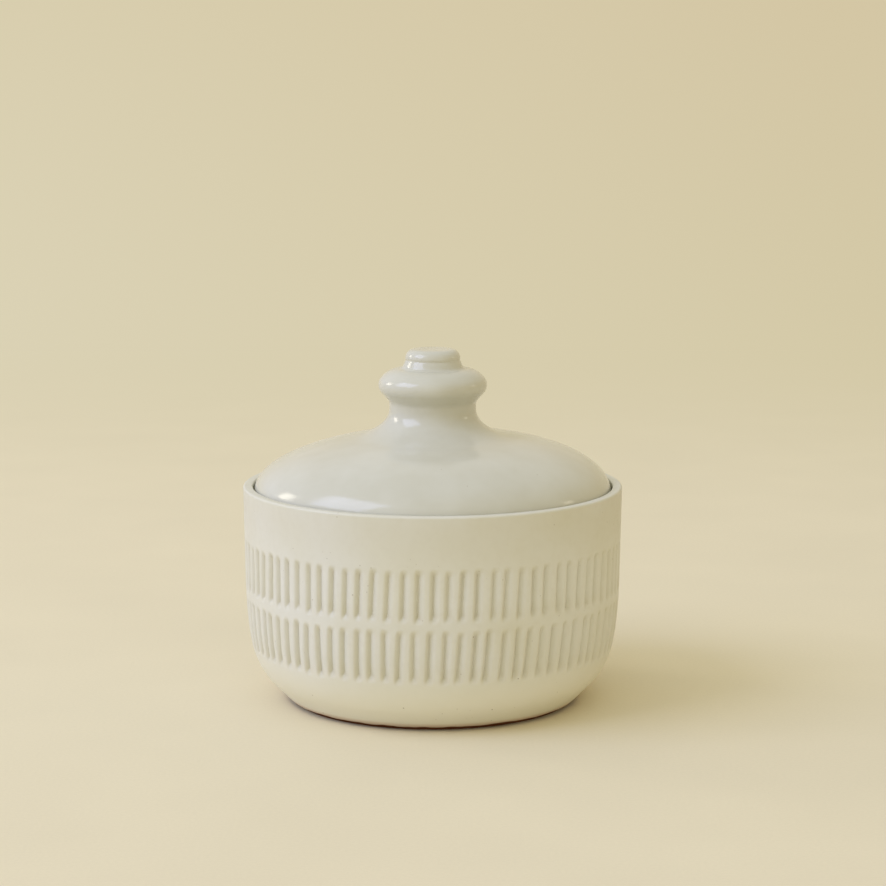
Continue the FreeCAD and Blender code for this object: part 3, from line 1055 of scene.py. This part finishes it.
def place_lamp(name, side, rise, wide, tall, bright, code):
    """One of the windows: a lamp that faces the jar and that the camera doesn't see."""
    data = bpy.data.lights.new(name, "AREA")
    data.shape = "RECTANGLE"
    data.size = 2 * WINDOW_DISTANCE * math.tan(math.radians(wide / 2))
    data.size_y = 2 * WINDOW_DISTANCE * math.tan(math.radians(tall / 2))
    data.color = linear(code)
    data.energy = bright * math.pi * data.size * data.size_y
    lamp = new_piece(name, data)
    a, e = math.radians(side), math.radians(rise)
    back = Vector((math.sin(a) * math.cos(e), -math.cos(a) * math.cos(e), math.sin(e)))
    turn = back.to_track_quat("Z", "Y").to_matrix().to_4x4()
    lamp.matrix_world = Matrix.Translation(back * WINDOW_DISTANCE + Vector(WINDOW_AIM)) @ turn
    lamp.visible_camera = False


def place_camera(lens):
    """The camera where the photograph was taken from."""
    data = bpy.data.cameras.new("camera")
    data.lens = lens
    data.sensor_width = SENSOR_WIDTH
    data.clip_start, data.clip_end = CLIP_START, CLIP_END
    camera = new_piece("camera", data)
    tilt, yaw, roll = math.radians(90 - CAMERA_DOWN), math.radians(-CAMERA_RIGHT), math.radians(CAMERA_ROLL)
    turn = Matrix.Rotation(yaw, 4, "Z") @ Matrix.Rotation(tilt, 4, "X") @ Matrix.Rotation(roll, 4, "Z")
    camera.matrix_world = Matrix.Translation(CAMERA_PLACE) @ turn
    bpy.context.scene.camera = camera


class PlainStage(bpy.types.Operator):
    """Set the seamless floor, the window light and the camera"""

    bl_idname = "lidded_jar.stage"
    bl_label = "Stage"

    def execute(self, context):
        look = context.scene.lidded_jar.stage
        sweep = [(PAPER_FRONT, 0), (PAPER_FOLD, 0)]
        sweep += arc((SWEEP_START, SWEEP_RADIUS), SWEEP_RADIUS, SWEEP_RADIUS, -90, SWEEP_END, steps=32)
        points = [(side, y, z) for y, z in sweep for side in (-PAPER_SIDE, PAPER_SIDE)]
        faces = [[2 * i, 2 * i + 1, 2 * i + 3, 2 * i + 2] for i in range(len(sweep) - 1)]
        mesh = bpy.data.meshes.new("paper")
        mesh.from_pydata(points, [], faces)
        mesh.shade_smooth()
        mesh.materials.append(paper_material(look))
        new_piece("paper", mesh)
        for window in WINDOWS:
            place_lamp(*window)
        context.scene.world = room_light(look.fill)
        context.scene.view_settings.view_transform = "Standard"
        place_camera(look.lens)
        return {"FINISHED"}


# The add-on's panel and its registration.


class JarPanel(bpy.types.Panel):
    """Lists the jar's pieces and their sizes and colours"""

    bl_idname = "VIEW3D_PT_lidded_jar"
    bl_label = "Lidded jar"
    bl_space_type = "VIEW_3D"
    bl_region_type = "UI"
    bl_category = "Jar"

    def draw(self, context):
        look = context.scene.lidded_jar
        for operator, groups in (
            (PressedJar, (look.jar, look.flutes)),
            (DomedLid, (look.lid, look.glazes)),
            (PlainStage, (look.stage,)),
        ):
            box = self.layout.box()
            box.operator(operator.bl_idname)
            for group in groups:
                for name in group.bl_rna.properties.keys():
                    if name not in ("rna_type", "name"):
                        box.prop(group, name)


CLASSES = (
    JarSizes, FluteSizes, LidSizes, Glazes, StageLook, LiddedJar, PressedJar, DomedLid, PlainStage, JarPanel)


def register():
    for cls in CLASSES:
        bpy.utils.register_class(cls)
    bpy.types.Scene.lidded_jar = PointerProperty(
        name="Lidded jar", description="Everything of the lidded jar", type=LiddedJar)


def unregister():
    del bpy.types.Scene.lidded_jar
    for cls in reversed(CLASSES):
        bpy.utils.unregister_class(cls)


def main():
    register()
    bpy.ops.lidded_jar.jar()
    bpy.ops.lidded_jar.lid()
    bpy.ops.lidded_jar.stage()


if __name__ == "__main__":
    main()
